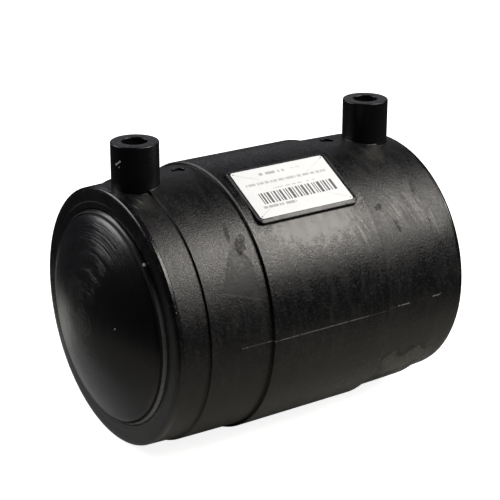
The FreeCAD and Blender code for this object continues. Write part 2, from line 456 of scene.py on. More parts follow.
def shroud_shell(where):
    """A terminal shroud: its foot flows into the barrel, and its bore goes down to a floor."""
    turns = [2 * math.pi * k / SHROUD_AROUND for k in range(SHROUD_AROUND)]

    def soft_band(along):
        """The barrel's radius, with its step near the terminal eased."""
        return sum(band_radius(along + k * 0.1) for k in range(-3, 4)) / 7

    def around(radius, height=None, above=0.0):
        """A circle at a height over the axis, or one that follows the barrel."""
        points = []
        for a in turns:
            x, y = radius * math.cos(a), radius * math.sin(a)
            r = soft_band(where - x)
            z = math.sqrt(r * r - y * y) + above if height is None else height
            points.append(Vector((-where + x, y, z)) * MM)
        return points

    foot, edge, bore_edge = SHROUD_FOOT, SHROUD_EDGE, SHROUD_BORE_EDGE
    rings = [around(SHROUD - SHROUD_ROOT_INSET, SHROUD_ROOT)]
    rings += [around(SHROUD + foot, above=above) for above in (-SHROUD_FOOT_SUNK, 0.0)]
    rings += [around(SHROUD + foot * s, above=foot * c) for s, c in quarter(6, 1)]
    rings += [around(SHROUD, height) for height in SHROUD_WALL_RINGS]
    rings += [around(SHROUD - edge * c, SHROUD_TOP - edge * s) for s, c in quarter(4)]
    rings += [around(radius, SHROUD_TOP) for radius in (SHROUD_TOP_RING, SHROUD_BORE + bore_edge)]
    rings += [around(SHROUD_BORE + bore_edge * s, SHROUD_TOP - bore_edge * c) for s, c in quarter(3, 1)]
    rings.append(around(SHROUD_BORE, SHROUD_FLOOR + SHROUD_BORE_RING))
    rings += [around(SHROUD_BORE - inward, SHROUD_FLOOR + up) for inward, up in SHROUD_FLOOR_CORNER]
    shell = Shell()
    made = shell.stack(rings)
    shell.fan(made[-1], Vector((-where, 0, SHROUD_FLOOR)) * MM)
    shell.fan(made[0], Vector((-where, 0, SHROUD_ROOT)) * MM)
    return shell


def on_pad(u, v, height):
    """A point u round the barrel, v along it from the pad's middle, at a height over the axis."""
    n, t = outward_frame(PAD_ANGLE)
    return (n * height + t * u + Vector((-(BARREL_LENGTH / 2 + v), 0, 0))) * MM


def rounded_outline(length, width, corner, flats=10, arc=8):
    """Points (u, v, outward u, outward v) round a rectangle with rounded corners."""
    out = []
    hu, hv = width / 2 - corner, length / 2 - corner
    for su, sv, start in ((1, 1, 0), (-1, 1, 90), (-1, -1, 180), (1, -1, 270)):
        for k in range(arc + 1):
            a = math.radians(start + 90 * k / arc)
            du, dv = math.cos(a), math.sin(a)
            out.append((su * hu + corner * du, sv * hv + corner * dv, du, dv))
        u, v, du, dv = out[-1]
        next_u, next_v = {0: (-hu, v), 90: (u, -hv), 180: (hu, v), 270: (u, hv)}[start]
        for k in range(1, flats):
            s = k / flats
            out.append((u + (next_u - u) * s, v + (next_v - v) * s, du, dv))
    return out


def pad_shell():
    """The label pad with its two kinds of edge, which run into each other at the corners."""
    outline = rounded_outline(PAD_LENGTH, PAD_WIDTH, PAD_CORNER)
    rings = []
    for slope, end in zip(PAD_SLOPE, PAD_END):
        points = []
        for u, v, du, dv in outline:
            share = du * du
            inward = end[0] + share * (slope[0] - end[0])
            drop = end[1] + share * (slope[1] - end[1])
            points.append(on_pad(u - du * inward, v - dv * inward, PAD_TOP - drop))
        rings.append(points)
    shell = Shell()
    made = shell.stack(rings)
    shell.fan(made[-1], on_pad(0, 0, PAD_TOP))
    shell.fan(made[0], on_pad(0, 0, PAD_ROOT))
    return shell


def label_shell():
    """The label, a thin plate with rounded corners and a soft edge."""
    length, width = PAD_LENGTH - 2 * LABEL_MARGIN, PAD_WIDTH - 2 * LABEL_MARGIN
    outline = rounded_outline(length, width, LABEL_CORNER)
    low, top = PAD_TOP - LABEL_SUNK, PAD_TOP + LABEL_THICKNESS

    def ring(margin, height):
        return [
            on_pad(u - du * margin + LABEL_SHIFT[0], v - dv * margin + LABEL_SHIFT[1], height)
            for u, v, du, dv in outline
        ]

    shell = Shell()
    made = shell.stack([ring(0.0, low)] + [ring(margin, top - drop) for margin, drop in LABEL_EDGE])
    shell.fan(made[-1], on_pad(0, 0, top))
    shell.fan(made[0], on_pad(0, 0, low))
    return shell


def plug_shell():
    """The hollow plug with its domed end."""
    apex = SHOULDER + DOME_RISE
    sphere = (PLUG ** 2 + DOME_RISE ** 2) / (2 * DOME_RISE)

    def dome(r):
        return apex - sphere + math.sqrt(sphere ** 2 - r * r)

    outer_edge = PLUG - DOME_EDGE
    roof = dome(PLUG_CAVITY / 2) - DOME_WALL
    wall_end = dome(PLUG_CAVITY) - DOME_WALL
    profile = []
    for k in range(1, DOME_RINGS + 1):
        r = outer_edge * k / DOME_RINGS
        profile.append((dome(r), r))
    profile += [(dome(outer_edge) - behind, PLUG - inward) for behind, inward in GROOVE]
    profile += [(BARREL_LENGTH + past, PLUG - inward) for past, inward in BEVEL]
    profile += [(z, PLUG) for z in PLUG_WALL_RINGS]
    profile += [(PLUG_FOOT + past, PLUG - inward) for inward, past in PLUG_FOOT_EDGE]
    profile += [(PLUG_FOOT, PLUG_CAVITY + CAVITY_MOUTH_EDGE), (PLUG_FOOT + CAVITY_MOUTH_EDGE, PLUG_CAVITY)]
    profile.append((CAVITY_WALL_RING, PLUG_CAVITY))
    profile += [(wall_end + past, PLUG_CAVITY - inward) for past, inward in CAVITY_CORNER]
    profile += [(roof + past, PLUG_CAVITY / 2 + outward) for past, outward in CAVITY_ROOF_EDGE]
    profile.append((roof, CAVITY_ROOF_RING))
    turns = [360 * k / PLUG_AROUND for k in range(PLUG_AROUND)]
    shell = Shell()
    made = shell.stack([[at(z, r, turn) for turn in turns] for z, r in profile])
    shell.fan(made[0], at(apex, 0, 0))
    shell.fan(made[-1], at(roof, 0, 0))
    return shell


class Nodes:
    """Short names for the shader nodes that the materials are built from. A mask is 1 inside, 0 outside,
    and limits are in millimetres and degrees."""

    def __init__(self, name):
        self.material = bpy.data.materials.new(name)
        self.material.use_nodes = True
        self.tree = self.material.node_tree
        self.tree.nodes.clear()

    def new(self, kind, **settings):
        node = self.tree.nodes.new(kind)
        for key, value in settings.items():
            setattr(node, key, value)
        return node

    def put(self, socket, value):
        if isinstance(value, bpy.types.NodeSocket):
            self.tree.links.new(value, socket)
        else:
            socket.default_value = value

    def math(self, operation, a, b=0.0):
        node = self.new("ShaderNodeMath", operation=operation)
        self.put(node.inputs[0], a)
        self.put(node.inputs[1], b)
        return node.outputs[0]

    def chain(self, operation, values):
        out = values[0]
        for value in values[1:]:
            out = self.math(operation, out, value)
        return out

    def most(self, *values):
        return self.chain("MAXIMUM", values)

    def times(self, *values):
        return self.chain("MULTIPLY", values)

    def plus(self, *values):
        return self.chain("ADD", values)

    def minus(self, value, less):
        return self.math("SUBTRACT", value, less)

    def away(self, value, centre=0.0):
        """How far a value is from a centre."""
        return self.math("ABSOLUTE", self.minus(value, centre))

    def object_mm(self):
        """The part's own coordinates in millimetres."""
        coordinates = self.new("ShaderNodeTexCoord")
        scale = self.new("ShaderNodeVectorMath", operation="SCALE")
        self.put(scale.inputs[0], coordinates.outputs["Object"])
        scale.inputs["Scale"].default_value = 1000
        return scale.outputs[0]

    def split(self, vector):
        node = self.new("ShaderNodeSeparateXYZ")
        self.put(node.inputs[0], vector)
        return node.outputs[0], node.outputs[1], node.outputs[2]

    def join(self, x, y, z):
        node = self.new("ShaderNodeCombineXYZ")
        for socket, value in zip(node.inputs, (x, y, z)):
            self.put(socket, value)
        return node.outputs[0]

    def stretched(self, vector, scale):
        node = self.new("ShaderNodeVectorMath", operation="MULTIPLY")
        self.put(node.inputs[0], vector)
        node.inputs[1].default_value = scale
        return node.outputs[0]

    def noise(self, vector, scale, detail=3.0, roughness=0.5, distortion=0.0):
        node = self.new("ShaderNodeTexNoise")
        self.put(node.inputs["Vector"], vector)
        node.inputs["Scale"].default_value = scale
        node.inputs["Detail"].default_value = detail
        node.inputs["Roughness"].default_value = roughness
        node.inputs["Distortion"].default_value = distortion
        return node.outputs["Fac"]

    def cells(self, vector, scale):
        """A random value for each small cell."""
        node = self.new("ShaderNodeTexVoronoi")
        self.put(node.inputs["Vector"], vector)
        node.inputs["Scale"].default_value = scale
        return self.split(node.outputs["Color"])[0]

    def ramp(self, value, low, high, out_low=0.0, out_high=1.0):
        """A smooth step from one output to the other, between two values in either order."""
        node = self.new("ShaderNodeMapRange", interpolation_type="SMOOTHSTEP")
        self.put(node.inputs["Value"], value)
        limits = {"From Min": low, "From Max": high, "To Min": out_low, "To Max": out_high}
        for key, number in limits.items():
            node.inputs[key].default_value = number
        return node.outputs["Result"]

    def near(self, value, centre, inner, outer):
        """1 up to an inner distance from a centre, 0 from an outer one on."""
        return self.ramp(self.away(value, centre), outer, inner)

    def eased(self, mask, least):
        """1 outside a mask, and only so much inside it."""
        return self.ramp(mask, 0.0, 1.0, 1.0, least)

    def mix(self, share, a, b):
        node = self.new("ShaderNodeMix", data_type="RGBA")
        self.put(node.inputs["Factor"], share)
        self.put(node.inputs["A"], a)
        self.put(node.inputs["B"], b)
        return node.outputs["Result"]

    def layered(self, color, layers):
        """A colour with others laid over it, each one where its mask is."""
        for mask, over in layers:
            color = self.mix(mask, color, over)
        return color

    def bump(self, height, distance, strength=1.0, normal=None):
        node = self.new("ShaderNodeBump")
        node.inputs["Strength"].default_value = strength
        node.inputs["Distance"].default_value = distance
        self.put(node.inputs["Height"], height)
        if normal is not None:
            self.put(node.inputs["Normal"], normal)
        return node.outputs["Normal"]

    def unrolled(self, p):
        """How far from the mouth, the degrees from the top towards the front, the distance from the axis,
        and the first two as a flat map in millimetres of the main band."""
        x, y, z = self.split(p)
        along = self.times(x, -1.0)
        turn = self.math("ARCTAN2", self.times(y, -1.0), z)
        radius = self.math("SQRT", self.plus(self.times(y, y), self.times(z, z)))
        flat = self.join(along, self.times(turn, MAIN), 0.0)
        return along, self.times(turn, 180 / math.pi), radius, flat

    def placed(self, vector, place, size=(1, 1, 1), turn=0.0):
        """The distance from a place, counted in the radii of an ellipse or ellipsoid."""
        node = self.new("ShaderNodeMapping", vector_type="TEXTURE")
        self.put(node.inputs["Vector"], vector)
        node.inputs["Location"].default_value = place
        node.inputs["Rotation"].default_value = (0, 0, math.radians(turn))
        node.inputs["Scale"].default_value = size
        length = self.new("ShaderNodeVectorMath", operation="LENGTH")
        self.put(length.inputs[0], node.outputs[0])
        return length.outputs["Value"]

    def patch(self, flat, along, angle, long, wide, turn=0.0, ragged=None, soft=0.5):
        """The inside of an ellipse on the flat map, with an edge that is soft or made ragged."""
        reach = self.placed(flat, (along, math.radians(angle) * MAIN, 0), (long, wide, 1), turn)
        if ragged is not None:
            reach = self.plus(reach, ragged)
        return self.ramp(reach, 1.0, 1.0 - soft)

    def patches(self, flat, places, ragged, soft):
        return self.most(*[self.patch(flat, *place, ragged=ragged, soft=soft) for place in places])

    def spots(self, p, balls):
        """The inside of small balls, given by their places and radii in millimetres."""
        return self.most(*[self.ramp(self.placed(p, place, [size] * 3), 1.0, 0.6) for place, size in balls])

    def streaks(self, flat, direction, along, across, detail=4.0):
        """Noise drawn out in a direction of the flat map, with its scales along and across it."""
        node = self.new("ShaderNodeMapping", vector_type="POINT")
        self.put(node.inputs["Vector"], flat)
        node.inputs["Rotation"].default_value = (0, 0, math.radians(-direction))
        drawn = self.stretched(node.outputs[0], (along, across, 1.0))
        return self.noise(drawn, 1.0, detail=detail, roughness=0.6, distortion=0.3)

    def depth(self, flat, corners, ragged):
        """How far inside a convex outline on the flat map, whose corners are (from the mouth, angle)."""
        points = [Vector((z, math.radians(a) * MAIN, 0)) for z, a in corners]
        middle = sum(points, Vector()) / len(points)
        depths = []
        for a, b in zip(points, points[1:] + points[:1]):
            inward = Vector((a.y - b.y, b.x - a.x, 0)).normalized()
            if inward.dot(middle - a) < 0:
                inward = -inward
            node = self.new("ShaderNodeVectorMath", operation="DOT_PRODUCT")
            self.put(node.inputs[0], flat)
            node.inputs[1].default_value = inward
            depths.append(self.minus(node.outputs["Value"], inward.dot(a)))
        return self.plus(self.chain("MINIMUM", depths), ragged)

    def surface(self, color, roughness, normal=None, metallic=0.0, ior=1.5, tint=None):
        shader = self.new("ShaderNodeBsdfPrincipled")
        self.put(shader.inputs["Base Color"], color)
        self.put(shader.inputs["Roughness"], roughness)
        shader.inputs["Metallic"].default_value = metallic
        shader.inputs["IOR"].default_value = ior
        if tint is not None:
            shader.inputs["Specular Tint"].default_value = tint
        if normal is not None:
            self.put(shader.inputs["Normal"], normal)
        output = self.new("ShaderNodeOutputMaterial")
        self.tree.links.new(shader.outputs[0], output.inputs["Surface"])
        return self.material


POLYETHYLENE_IOR = 1.46

# Places on the barrel: (distance from the mouth, angle, half length, half width, turn of the long side)
RUBBED = ((24, 50, 14, 13, 0), (10, 58, 9, 5, 100), (137, 16, 5, 3.0, 60), (50, 56, 8, 8, 0),
          (100, 45, 9, 5, 100))
DULLED = ((107.0, 48.5, 5.0, 3.0, 60), (110.3, 42, 5.5, 1.2, 80), (31, 56, 3.5, 1.3, 100),
          (16, 41, 4, 1.3, 80), (37, 46, 2.5, 1.6, 30))
DUSTY = ((68, -2, 5, 1.4, 12), (21, 18, 9, 6, 40), (134, 20, 4, 7, 20))
SMOOTHED = (71, 42, 34, 20)
FLECK = (70.0, 112.8, 0.9, 0.8)

# Outlines on the barrel, corner by corner: (distance from the mouth, angle)
HANDLED = ((111, 47.4), (121.2, 66.4), (104.1, 72.2), (105, 55))
STAINED = ((39.7, 113.6), (10.8, 120.0), (12.0, 130.0), (33.0, 138.7))

# The parting line's angle, and where it shows: (distance from the mouth, half length, how light it is)
SEAM_ANGLE = 90.3
SEAM_RUNS = ((76, 24, 0.45), (101.6, 2.0, 0.55), (113.7, 1.4, 0.55), (106, 9, 0.2), (46, 8, 0.12),
             (34.2, 3.4, 0.8), (15.6, 3.0, 0.8))

# How far along the bore one turn of its ridges goes
WINDING_PITCH = 2.3

# Light marks on the shroud at the plug's end, in millimetres: places and radii
LIGHT_MARKS = (
    ((-138.9, -1.9, 65.0), 0.55), ((-138.75, -2.5, 65.4), 0.5), ((-138.5, -3.2, 66.0), 0.5),
    ((-138.2, -3.9, 66.5), 0.5), ((-138.4, -3.4, 64.1), 0.35), ((-137.4, -2.0, 56.2), 0.5),
)

# Colours on the barrel
CLEAN = (0.0021, 0.0022, 0.0030, 1)
DUST = (0.021, 0.0205, 0.0180, 1)
FLECK_COLOR = (0.012, 0.004, 0.002, 1)
RUBBED_COLOR = (0.11, 0.108, 0.103, 1)
STAIN_COLOR = (0.10, 0.088, 0.072, 1)
STAIN_RIM_COLOR = (0.004, 0.003, 0.0025, 1)
# Light wear at the pad's ends, and a painted highlight on the shoulders near the top
WEAR_AND_HIGHLIGHT_COLOR = (0.13, 0.129, 0.126, 1)
# Painted highlight for the light line on the plug end's face
FACE_LINE_HIGHLIGHT_COLOR = (0.05, 0.05, 0.05, 1)
SEAM_COLOR = (0.24, 0.24, 0.235, 1)
LIGHT_MARK_COLOR = (0.6, 0.6, 0.58, 1)
# Painted shade, darker than the black, in the indicator holes and in the groove behind the dome's edge
PAINTED_SHADE_COLOR = (0.0015, 0.0015, 0.0018, 1)
BORE_COLOR = (0.02, 0.02, 0.019, 1)
BARREL_TINT = (1.0, 0.97, 0.945, 1)


def bore_windings(m, along, angle, radius, from_middle):
    """Fine helical ridges in the bore, where the coils lie close under the surface."""
    turns = m.math("FRACT", m.plus(m.times(along, 1 / WINDING_PITCH), m.times(angle, 1 / 360)))
    zone = m.times(m.ramp(from_middle, 30.6, 31.4), m.ramp(from_middle, 58.4, 57.6))
    return m.times(m.near(turns, 0.5, 0.04, 0.24), m.ramp(radius, 45.9, 45.5), zone)


def seam_line(m, flat, angle, broken):
    """The mould's parting line at the front and back, and where on it the line was rubbed light."""
    line = m.near(m.away(angle), SEAM_ANGLE, 0.12, 0.34)
    runs = [m.times(m.patch(flat, z, 90, half, 9, soft=0.15), strength) for z, half, strength in SEAM_RUNS]
    line = m.times(line, m.most(*runs))
    return line, m.times(line, m.ramp(broken, 0.3, 0.55, 0.25, 1.0))


def edge_wear_and_highlight(m, p, along, angle, radius, from_middle, noise):
    """Light edges: a painted highlight on the main band's shoulders near the top, and the ends of the label
    pad, rubbed light and also painted as the highlight of their rounding.
    """
    # Painted highlight along the shoulders' edges, near the top only
    shoulder_highlight = m.times(m.ramp(from_middle, 28.0, 28.5), m.ramp(from_middle, 29.05, 28.95),
                       m.ramp(radius, 56.3, 56.5), m.near(angle, 0.0, 30.0, 50.0),
                       m.ramp(along, 60.0, 80.0, 0.12, 1.0))
    a = math.radians(PAD_ANGLE)
    x, y, z = m.split(p)
    over_pad = m.plus(m.times(y, -math.sin(a)), m.times(z, math.cos(a)))
    end = m.minus(from_middle, PAD_LENGTH / 2)
    pad = m.times(m.ramp(end, -0.75, -0.45), m.ramp(end, 0.06, 0.02), m.ramp(over_pad, 56.9, 57.1))
    crest_highlight = m.times(m.ramp(from_middle, 28.05, 28.2), m.ramp(from_middle, 28.75, 28.65),
                    m.ramp(radius, 56.5, 56.7), m.near(angle, 8.0, 14.0, 26.0), m.ramp(along, 60.0, 80.0))
    return m.most(m.times(m.most(shoulder_highlight, pad), m.ramp(noise, 0.3, 0.55, 0.3, 1.0)), crest_highlight)


def shroud_mask(m, p):
    """Both terminal shrouds, down to the barrel."""
    x, y, height = m.split(p)
    shrouds = []
    for where in TERMINALS:
        off = m.plus(x, where)
        out = m.math("SQRT", m.plus(m.times(off, off), m.times(y, y)))
        shrouds.append(m.times(m.ramp(out, SHROUD + SHROUD_FOOT, SHROUD + 0.02), m.ramp(height, 50.0, 52.0)))
    return m.most(*shrouds)


def black_polyethylene():
    """Moulded black polyethylene: stippled grain, uneven gloss, dust, rubbed streaks and a parting line."""
    m = Nodes("black_polyethylene")
    p = m.object_mm()
    along, angle, radius, flat = m.unrolled(p)
    from_middle = m.away(along, BARREL_LENGTH / 2)

    # Patterns
    grain = m.noise(p, 1.0, detail=4.0, roughness=0.75)
    speck = m.cells(p, 1.5)
    waves = m.noise(p, 0.055, detail=2.0)
    cloud = m.noise(p, 0.035, detail=4.0, roughness=0.6)
    mottle = m.noise(flat, 0.9, detail=3.0, roughness=0.7)
    ragged = m.times(m.minus(m.noise(flat, 0.35, detail=4.0, roughness=0.65), 0.5), 1.3)
    rubs = m.streaks(flat, 106, 0.06, 0.75)
    smears = m.streaks(flat, 94, 0.07, 0.24)
    crossed = [m.streaks(flat, turn, 0.12, 2.2, detail=2.0) for turn in (-35, 48, 100)]
    wiggle = m.times(m.minus(m.noise(p, 0.4, detail=2.0), 0.5), 1.4)

    # Places
    main_band = m.ramp(from_middle, 29.3, 28.7)
    end_face = m.ramp(from_middle, 71.1, 71.4)
    rim = m.ramp(from_middle, 68.6, 69.6)
    lead_in = m.times(end_face, m.ramp(radius, 47.75, 47.45))
    shroud = shroud_mask(m, p)
    off_shroud = m.minus(1.0, shroud)
    opening = INDICATOR_BORE + 0.25
    # Painted shade: the indicator holes and their mouths are coloured darker
    hole = m.most(*[m.patch(flat, z, INDICATOR_ANGLE, opening, opening, soft=0.1) for z in INDICATORS])
    hole = m.times(hole, m.minus(1.0, m.times(main_band, m.ramp(radius, 56.6, 56.8))))
    inside = m.times(m.ramp(radius, 46.0, 45.6), m.minus(1.0, end_face))
    windings = bore_windings(m, along, angle, radius, from_middle)

    # Marks
    rub_zone = m.patches(flat, RUBBED, ragged, 0.8)
    rubbed = m.times(rub_zone, m.ramp(rubs, 0.43, 0.62), off_shroud)
    smoothed = m.patch(flat, *SMOOTHED, ragged=ragged, soft=0.6)
    dulled = m.times(m.patches(flat, DULLED, ragged, 0.35), m.ramp(mottle, 0.36, 0.56, 0.25, 1.0))
    handled = m.depth(flat, HANDLED, m.times(ragged, 1.6))
    handled_rim = m.near(handled, 0.0, 0.1, 0.7)
    handled = m.ramp(handled, -0.2, 0.8)
    stained = m.depth(flat, STAINED, m.times(m.minus(m.noise(flat, 0.12, detail=4.0), 0.5), 22.0))
    stain_rim = m.near(stained, 0.0, 0.2, 1.8)
    stained = m.times(m.ramp(stained, 0.0, 3.0), m.ramp(mottle, 0.4, 0.6, 0.3, 1.0))
    dusty = m.patches(flat, DUSTY, ragged, 0.7)
    scuffs = m.most(*[m.ramp(lines, 0.655, 0.72) for lines in crossed])
    scuffs = m.times(scuffs, m.ramp(cloud, 0.45, 0.6, 0.15, 1.0), off_shroud)
    smeared = m.times(m.ramp(smears, 0.45, 0.72), off_shroud)
    # The underside, past 100 degrees from the top, gets more of the dust colour, less grain and fewer specks
    below = m.ramp(m.plus(m.away(angle), m.times(ragged, 4.0)), 100.0, 103.0)
    line, seam = seam_line(m, flat, angle, m.noise(flat, 0.4, detail=2.0))
    # Rubbed pad ends, and painted highlights on the shoulders' edges near the top
    wear_and_highlight = edge_wear_and_highlight(m, p, along, angle, radius, from_middle, mottle)
    # Painted highlight: a light line on the plug end's face, 48 mm out from the axis, only on its upper side
    # towards the back
    ring = m.near(m.plus(radius, m.times(wiggle, 0.3)), 48.0, 0.15, 0.4)
    ring = m.times(ring, end_face, m.near(angle, -18.0, 12.0, 30.0))
    fleck = m.patch(flat, *FLECK)

    # Colour: black under a little dust, lighter and warmer on the underside, with the marks over it
    specks = m.times(m.ramp(speck, 0.8, 0.95), m.eased(smoothed, 0.2), 0.4)
    dust = m.plus(m.times(m.ramp(cloud, 0.42, 0.72), 0.2), m.times(smeared, 0.35), m.times(dusty, 0.55),
                  m.times(scuffs, 0.8), m.times(below, 0.22), specks)
    dust = m.times(dust, m.eased(shroud, 0.15))
    dust = m.math("MINIMUM", m.math("MAXIMUM", dust, 0.0), 1.0)
    color = m.layered(m.mix(dust, CLEAN, DUST), (
        (m.times(fleck, 0.8), FLECK_COLOR),
        (m.times(rubbed, 0.8), RUBBED_COLOR),
        (m.times(stained, 0.8), STAIN_COLOR),
        (m.times(wear_and_highlight, 0.9), WEAR_AND_HIGHLIGHT_COLOR),
        (m.times(ring, 0.9), FACE_LINE_HIGHLIGHT_COLOR),
        (m.times(stain_rim, 0.8), STAIN_RIM_COLOR),
        (seam, SEAM_COLOR),
        (m.spots(p, LIGHT_MARKS), LIGHT_MARK_COLOR),
        (hole, PAINTED_SHADE_COLOR),
        (inside, BORE_COLOR),
    ))

    # Gloss: speckled by the grain, duller in smears and marks, smoother on rims and shrouds
    speckled = m.times(m.eased(rim, 0.3), m.eased(smoothed, 0.2), m.eased(shroud, 0.25), m.eased(below, 0.35))
    roughness = m.plus(
        m.ramp(cloud, 0.3, 0.7, 0.34, 0.40), m.times(main_band, -0.05),
        m.times(m.minus(0.5, rubs), rub_zone, 0.45), m.times(m.minus(speck, 0.5), 0.13, speckled),
        m.times(m.minus(smears, 0.5), 0.25, off_shroud), m.times(dulled, 0.3), m.times(handled, 0.14),
        m.times(handled_rim, 0.1), m.times(stain_rim, 0.12), m.times(rim, -0.16), m.times(shroud, -0.15),
        m.times(hole, -0.25))

    # Relief: wide waves, turning rings on the rims' faces, moulded grain and the ridges in the bore
    normal = m.bump(waves, 0.0004, 0.6)
    rings = m.noise(m.join(radius, 0.0, 0.0), 2.2, detail=2.0)
    normal = m.bump(m.times(rings, end_face), 0.00004, 0.6, normal)
    relief = m.times(grain, m.eased(handled, 0.5), m.eased(smoothed, 0.25), m.eased(rim, 0.35),
                     m.eased(below, 0.5))
    relief = m.plus(relief, m.times(scuffs, 0.15), m.times(line, 0.5), m.times(lead_in, mottle, 0.5))
    normal = m.bump(relief, 0.00017, 1.0, normal)
    normal = m.bump(windings, 0.00035, 0.7, normal)
    return m.surface(color, roughness, normal, ior=POLYETHYLENE_IOR, tint=BARREL_TINT)


# Light marks on the plug and the wiped place on its dome, in millimetres: places and radii
PLUG_MARKS = (
    (at(143.9, 45.0, 42.5) / MM, 1.0), (at(152.5, 22.2, 77.0) / MM, 0.35), (at(152.5, 21.2, 78.5) / MM, 0.3),
)
WIPED = ((at(154.4, 12.0, -45.0) / MM, 11.0),)

# How far out one turn of the spiral at the dome's middle goes
SPIRAL_PITCH = 2.6

# Colours on the plug
PLUG_CLEAN = (0.0030, 0.0030, 0.0036, 1)
# Painted highlights: the light arcs of the dome's turning rings
ARC_HIGHLIGHT_COLOR = (0.036, 0.0355, 0.033, 1)
WIPED_COLOR = (0.02, 0.02, 0.017, 1)
# Painted light on the plug's side between the barrel's end and the dome
SIDE_PAINTED_LIGHT_COLOR = (0.21, 0.21, 0.19, 1)
# Painted highlight along the dome's rounded edge
DOME_EDGE_HIGHLIGHT_COLOR = (0.16, 0.155, 0.145, 1)
PLUG_MARK_COLOR = (0.75, 0.75, 0.72, 1)
PLUG_TINT = (1.0, 0.97, 0.94, 1)


def plug_polyethylene():
    """The plug's smoother polyethylene, with the fine rings of its turned dome."""
    m = Nodes("plug_polyethylene")
    p = m.object_mm()
    along, angle, radius = m.unrolled(p)[:3]

    # Patterns
    wander = m.noise(p, 0.05, detail=2.0)
    circle = m.plus(radius, m.times(wander, 1.5))
    rings = m.noise(m.join(circle, 0.0, 0.0), 1.5, detail=3.0, roughness=0.7)
    broken = m.noise(m.join(m.times(radius, 0.25), m.times(angle, 0.035), 0.0), 1.0, detail=2.0)
    grain = m.noise(p, 1.6, detail=3.0)
    cloud = m.noise(p, 0.05, detail=4.0)

    # Places and marks
    on_dome = m.ramp(along, SHOULDER - 0.5, SHOULDER)
    swirl = m.times(m.ramp(radius, 9.0, 1.0), on_dome)
    # Painted highlights: the turning rings' light arcs and the spiral at the middle are coloured light,
    # strongest towards the top and back
    upper_back = m.near(angle, -25.0, 35.0, 75.0)
    arc_highlights = m.times(m.ramp(rings, 0.52, 0.7), m.ramp(broken, 0.42, 0.62), on_dome,
                   m.ramp(upper_back, 0.0, 1.0, 0.5, 1.0))
    spiral = m.math("FRACT", m.plus(m.times(circle, 1 / SPIRAL_PITCH), m.times(angle, 1 / 360)))
    spiral = m.times(m.near(spiral, 0.5, 0.08, 0.22), m.ramp(radius, 8.0, 5.5), m.ramp(broken, 0.34, 0.46),
                     on_dome)
    # Painted light: the plug's side out past the barrel's end, towards the front and lower down, is coloured
    # light as if lit
    side = m.times(m.ramp(radius, 44.05, 44.2), m.ramp(m.plus(radius, wander), 45.75, 45.5),
                   m.near(angle, 120.0, 45.0, 72.0), m.ramp(grain, 0.3, 0.5, 0.6, 1.0),
                   m.ramp(angle, 100.0, 150.0, 1.0, 0.5))
    # Painted highlight: a light strip along the dome's edge towards the back
    dome_edge_highlight = m.times(m.ramp(radius, 34.0, 42.0), on_dome, m.ramp(radius, 43.1, 43.0),
                        m.near(angle, -100.0, 20.0, 45.0), m.ramp(grain, 0.35, 0.55, 0.3, 1.0))
    # Painted shade: the groove behind the dome's edge is coloured darker, and it is rougher
    groove = m.times(m.ramp(radius, 43.0, 43.1), m.ramp(radius, 44.15, 44.0))

    color = m.layered(m.mix(m.most(arc_highlights, m.times(spiral, 0.9)), PLUG_CLEAN, ARC_HIGHLIGHT_COLOR), (
        (m.times(m.spots(p, WIPED), 0.5), WIPED_COLOR),
        (side, SIDE_PAINTED_LIGHT_COLOR),
        (dome_edge_highlight, DOME_EDGE_HIGHLIGHT_COLOR),
        (m.spots(p, PLUG_MARKS), PLUG_MARK_COLOR),
        (groove, PAINTED_SHADE_COLOR),
    ))
    roughness = m.plus(m.ramp(cloud, 0.3, 0.7, 0.21, 0.26), m.times(grain, 0.04), m.times(swirl, 0.05),
                       m.times(groove, 0.5))
    normal = m.bump(m.noise(p, 0.04, detail=1.0), 0.0006, 0.5)
    carved = m.times(rings, m.ramp(broken, 0.35, 0.65, 0.45, 1.0), m.ramp(upper_back, 0.0, 1.0, 0.5, 1.3),
                     m.ramp(radius, 8.0, 15.0, 0.4, 1.0))
    normal = m.bump(carved, 0.0002, 1.0, normal)
    normal = m.bump(grain, 0.00003, 0.8, normal)
    return m.surface(color, roughness, normal, ior=POLYETHYLENE_IOR, tint=PLUG_TINT)


# The label's print: generic bars from one end to the other, as (width, gap), and plain rows of blocks, as
# (round, along, half length, height, how dark), in millimetres from its middle
LABEL_BARS = ((1.3, 0.9), (0.5, 0.8), (0.9, 0.6), (0.5, 0.8), (1.4, 0.7), (0.5, 0.6), (0.5, 1.1), (1.0, 0.7),
              (0.6, 0.9), (1.2, 0.6), (0.5, 0.7), (0.9, 1.0), (0.5, 0.6), (1.3, 0.8), (0.6, 0.6), (0.5, 1.0),
              (1.1, 0.6), (0.5, 0.8), (0.9, 0.7), (0.5, 0.9), (1.2, 0.6), (0.6, 0.7), (0.9, 0.5), (0.5, 0.0))
LABEL_BARS_START = -18.6
LABEL_BARS_PLACE = (3.5, 3.0)
LABEL_BARS_DARKNESS = 0.92
LABEL_ROWS = ((-9.3, 5.6, 6.8, 1.4, 0.5), (-9.5, -7.5, 3.0, 0.4, 0.3), (-4.6, 0.3, 20.0, 1.3, 0.4),
              (-0.9, 0.0, 11.5, 0.6, 0.35), (8.1, 11.0, 8.0, 1.3, 0.5))
PAPER = ((0.90, 0.90, 0.90, 1), (0.94, 0.94, 0.94, 1))
INK = (0.07, 0.075, 0.08, 1)


